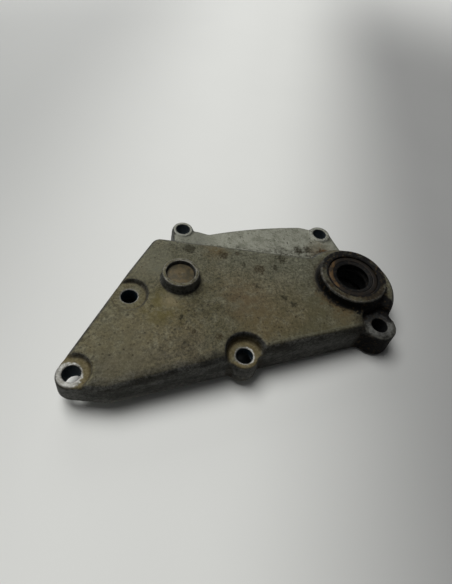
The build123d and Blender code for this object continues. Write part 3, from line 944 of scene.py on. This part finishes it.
# %% Shell and lip
FACE = SHAFT_TOP - 0.7
SHELL_R, SHELL_METAL, SEAL_WIDTH, LIP_R, FLANGE_IN = 10.98, 0.9, 5.0, 7.2, 8.9
shell = [
    (SHELL_R, FACE - SEAL_WIDTH),
    (SHELL_R, FACE),
    (FLANGE_IN, FACE),
    (FLANGE_IN, FACE - SHELL_METAL),
    (SHELL_R - SHELL_METAL, FACE - SHELL_METAL),
    (SHELL_R - SHELL_METAL, FACE - SEAL_WIDTH),
]
dress("seal_shell", turned("seal_shell", rounded(shell, 0.5), SHAFT), shell_steel, "seal_case")
SPRING_R, SPRING_Z = LIP_R + 1.8, FACE - 4.0
lip = [
    (FLANGE_IN, FACE - 0.1),
    (LIP_R + 0.7, FACE - 0.3),
    (LIP_R, FACE - 0.5),
    (LIP_R, FACE - 0.9),
    (LIP_R + 0.8, FACE - 1.4),
    (LIP_R + 0.9, SPRING_Z + 1.5),
    (LIP_R, SPRING_Z + 0.3),
    (LIP_R, SPRING_Z - 0.3),
    (LIP_R + 0.5, SPRING_Z - 0.9),
    (SPRING_R, SPRING_Z - 0.9),
    (SPRING_R - 0.62, SPRING_Z - 0.35),
    (SPRING_R - 0.72, SPRING_Z),
    (SPRING_R - 0.62, SPRING_Z + 0.35),
    (SPRING_R, SPRING_Z + 0.74),
    (SPRING_R, SPRING_Z + 1.2),
    (SPRING_R - 0.1, FACE - 1.7),
    (SHELL_R - SHELL_METAL, FACE - 1.7),
    (SHELL_R - SHELL_METAL, FACE - SHELL_METAL),
    (FLANGE_IN, FACE - SHELL_METAL),
]


def oily_rubber():
    """Black rubber with sooty patches and faint turned rings."""
    rubber = Finish("oily black rubber")
    soot = rubber.noise(1.2, detail=4.0, seed=41)
    rings = rubber.node("ShaderNodeMath", {"operation": "SINE"}, {0: rubber.away(SHAFT) * 9.0})
    tone = rubber.mix((0.003, 0.003, 0.003), (0.018, 0.014, 0.010), rubber.step(soot, 0.5, 0.7))
    relief = rubber.bump(rings * 0.5 + soot, 0.04)
    gloss = rubber.blend(0.5, 0.8, soot)
    return rubber.finish(Base_Color=tone, Roughness=gloss, Specular_IOR_Level=0.1, Normal=relief)


lip_mesh = turned("seal_rubber", rounded(lip, 0.25, 3), SHAFT)
dress("seal_rubber", lip_mesh, oily_rubber(), "seal_lip")

# %% [markdown]
# ## Garter spring
#
# The spring behind the lip is a long fine coil whose ends are joined in a ring. A coil
# repeats, so Geometry Nodes make it: points along a ring, each swung round the ring's own
# circle a little further than the last, and a thin round wire drawn along them.

# %% The spring's node tree
POINTS_PER_TURN, WIRE_SIDES = 10, 5
COIL_SIZES = ("Ring radius", "Coil radius", "Wire radius")


def make_coil_tree():
    tree = bpy.data.node_groups.new("coil on a ring", "GeometryNodeTree")
    for name in COIL_SIZES:
        tree.interface.new_socket(name, in_out="INPUT", socket_type="NodeSocketFloat")
    tree.interface.new_socket("Turns", in_out="INPUT", socket_type="NodeSocketInt")
    tree.interface.new_socket("Wire", in_out="INPUT", socket_type="NodeSocketMaterial")
    tree.interface.new_socket("Geometry", in_out="OUTPUT", socket_type="NodeSocketGeometry")
    coil = Tree(tree)
    given = coil.node("NodeGroupInput")
    ring_radius, coil_radius, wire_radius = (given.output(name) for name in COIL_SIZES)
    count = given.output("Turns") * POINTS_PER_TURN
    ring = coil.node("GeometryNodeCurvePrimitiveCircle", {}, {"Resolution": count, "Radius": 1.0})
    index = coil.node("GeometryNodeInputIndex")
    swing = index * (2 * math.pi / POINTS_PER_TURN)
    round_ring = coil.node("ShaderNodeMath", {"operation": "DIVIDE"}, {0: index * (2 * math.pi), 1: count})
    sine, cosine = ({"operation": name} for name in ("SINE", "COSINE"))
    out = ring_radius + coil.node("ShaderNodeMath", cosine, {0: swing}) * coil_radius
    x = out * coil.node("ShaderNodeMath", cosine, {0: round_ring})
    y = out * coil.node("ShaderNodeMath", sine, {0: round_ring})
    z = coil.node("ShaderNodeMath", sine, {0: swing}) * coil_radius
    place = coil.node("ShaderNodeCombineXYZ", {}, {0: x, 1: y, 2: z})
    path = coil.node("GeometryNodeSetPosition", {}, {"Geometry": ring, "Position": place})
    wire_ring = {"Resolution": WIRE_SIDES, "Radius": wire_radius}
    wire = coil.node("GeometryNodeCurvePrimitiveCircle", {}, wire_ring)
    body = coil.node("GeometryNodeCurveToMesh", {}, {"Curve": path, "Profile Curve": wire})
    body = coil.node("GeometryNodeRealizeInstances", {}, {"Geometry": body})
    body = coil.node("GeometryNodeSetMaterial", {}, {"Geometry": body, "Material": given.output("Wire")})
    coil.node("NodeGroupOutput", {}, {"Geometry": body})
    return tree


def grown(name, tree, values):
    """The mesh that a Geometry Nodes tree makes with these inputs."""
    seed = add_object(name, bpy.data.meshes.new(name))
    modifier = seed.modifiers.new("nodes", "NODES")
    modifier.node_group = tree
    for socket in tree.interface.items_tree:
        if socket.in_out == "INPUT" and socket.name in values:
            modifier[socket.identifier] = values[socket.name]
    graph = bpy.context.evaluated_depsgraph_get()
    mesh = bpy.data.meshes.new_from_object(seed.evaluated_get(graph))
    bpy.data.objects.remove(seed)
    return mesh


print(POINTS_PER_TURN, "points to a turn")

# %% Wind the spring
TURNS, COIL_RADIUS, WIRE_RADIUS = 150, 0.55, 0.13


def spring_wire():
    """Bright drawn wire with a slight glint."""
    wire = Finish("bright spring wire")
    glint = wire.noise(0.8, detail=2.0, seed=51)
    tone = wire.mix((0.33, 0.32, 0.30), (0.58, 0.57, 0.54), glint)
    gloss = wire.blend(0.3, 0.5, glint)
    return wire.finish(Base_Color=tone, Metallic=0.95, Roughness=gloss, Normal=wire.bump(glint, 0.02))


wire = spring_wire()
radii = (SPRING_R * MM, COIL_RADIUS * MM, WIRE_RADIUS * MM)
sizes = {**dict(zip(COIL_SIZES, radii)), "Turns": TURNS, "Wire": wire}
spring = grown("garter_coil", make_coil_tree(), sizes)
spring.transform(Matrix.Translation((SHAFT[0] * MM, SHAFT[1] * MM, SPRING_Z * MM)))
spring.shade_smooth()
dress("garter_coil", spring, wire, "garter_spring")

# %% [markdown]
# ## Core plug and dowels
#
# The plug is a shallow steel cup pressed into the small boss, with a slight dome and a
# faint dimple in its middle from the punch. The dowels are turned sleeves, a little
# thinner at their free end. Plain cylinders would miss the dome and that step, while a
# turned profile has them from the start.

# %% Core plug
PLUG_FACE, PLUG_R, PLUG_FLAT_R, PLUG_METAL, PLUG_DEPTH = PLUG_TOP - 1.7, 5.98, 4.9, 1.2, 4.0
DOME = 0.35
plug = [(PLUG_R, PLUG_FACE - PLUG_DEPTH), (PLUG_R, PLUG_FACE), (PLUG_FLAT_R, PLUG_FACE)]
plug += [(r, PLUG_FACE + DOME * (1 - (r / PLUG_FLAT_R) ** 2)) for r in (4.0, 3.0, 2.0, 1.2)]
plug += [(r, PLUG_FACE + height) for r, height in ((0.8, 0.27), (0.4, 0.2), (0.0, 0.18))]
plug += [(r, PLUG_FACE - PLUG_METAL) for r in (0.0, PLUG_R - PLUG_METAL)]
plug += [(PLUG_R - PLUG_METAL, PLUG_FACE - PLUG_DEPTH)]
dress("plug_cup", turned("plug_cup", rounded(plug, 0.5), PLUG), plug_steel, "core_plug")

# %% Turned steel
def turned_steel():
    """Lathe marks, a haze of rust, and painted shade, dark blue, inside the bores where the bolts pass."""
    steel = Finish("turned steel")
    marks = steel.noise(0.25, detail=2.0, seed=61, stretch=(0.05, 0.05, 1.0))
    haze = steel.noise(3.0, seed=62)
    tone = steel.mix((0.30, 0.29, 0.27), (0.46, 0.45, 0.43), marks)
    tone = steel.mix(tone, (0.14, 0.085, 0.045), steel.step(haze, 0.55, 0.75) * 0.6)
    # Painted shade: dark blue inside the dowels' bores.
    bores = steel.most(*(steel.near(at, 3.7, 3.5) for at in (FRONT, REAR)))
    tone = steel.mix(tone, (0.010, 0.017, 0.022), bores * 0.92)
    gloss = steel.blend(0.3, 0.5, haze)
    return steel.finish(Base_Color=tone, Metallic=0.9, Roughness=gloss, Normal=steel.bump(marks, 0.01))


dowel_steel = turned_steel()
print("one turned steel")

# %% Dowels
DOWEL_R, DOWEL_BORE_R, DOWEL_TOP, CHAMFER = 4.48, 3.3, 6.0, 0.5
# the free end is thinner than the pressed-in length, from just under the gasket face
FREE_R, FREE_TOP = 4.33, -0.3
for name, at, stand in (("front", FRONT, 3.0), ("rear", REAR, 4.5)):
    dowel = [
        (DOWEL_BORE_R, -stand),
        (FREE_R - CHAMFER, -stand),
        (FREE_R, CHAMFER - stand),
        (FREE_R, FREE_TOP),
        (DOWEL_R, FREE_TOP),
        (DOWEL_R, DOWEL_TOP - CHAMFER),
        (DOWEL_R - CHAMFER, DOWEL_TOP),
        (DOWEL_BORE_R, DOWEL_TOP),
    ]
    sleeve = turned(f"{name}_sleeve", rounded(dowel, 0.1, 2), at, 96)
    dress(f"{name}_sleeve", sleeve, dowel_steel, f"{name}_dowel")

# %% [markdown]
# The dressed cover must not be larger than the CAD one.
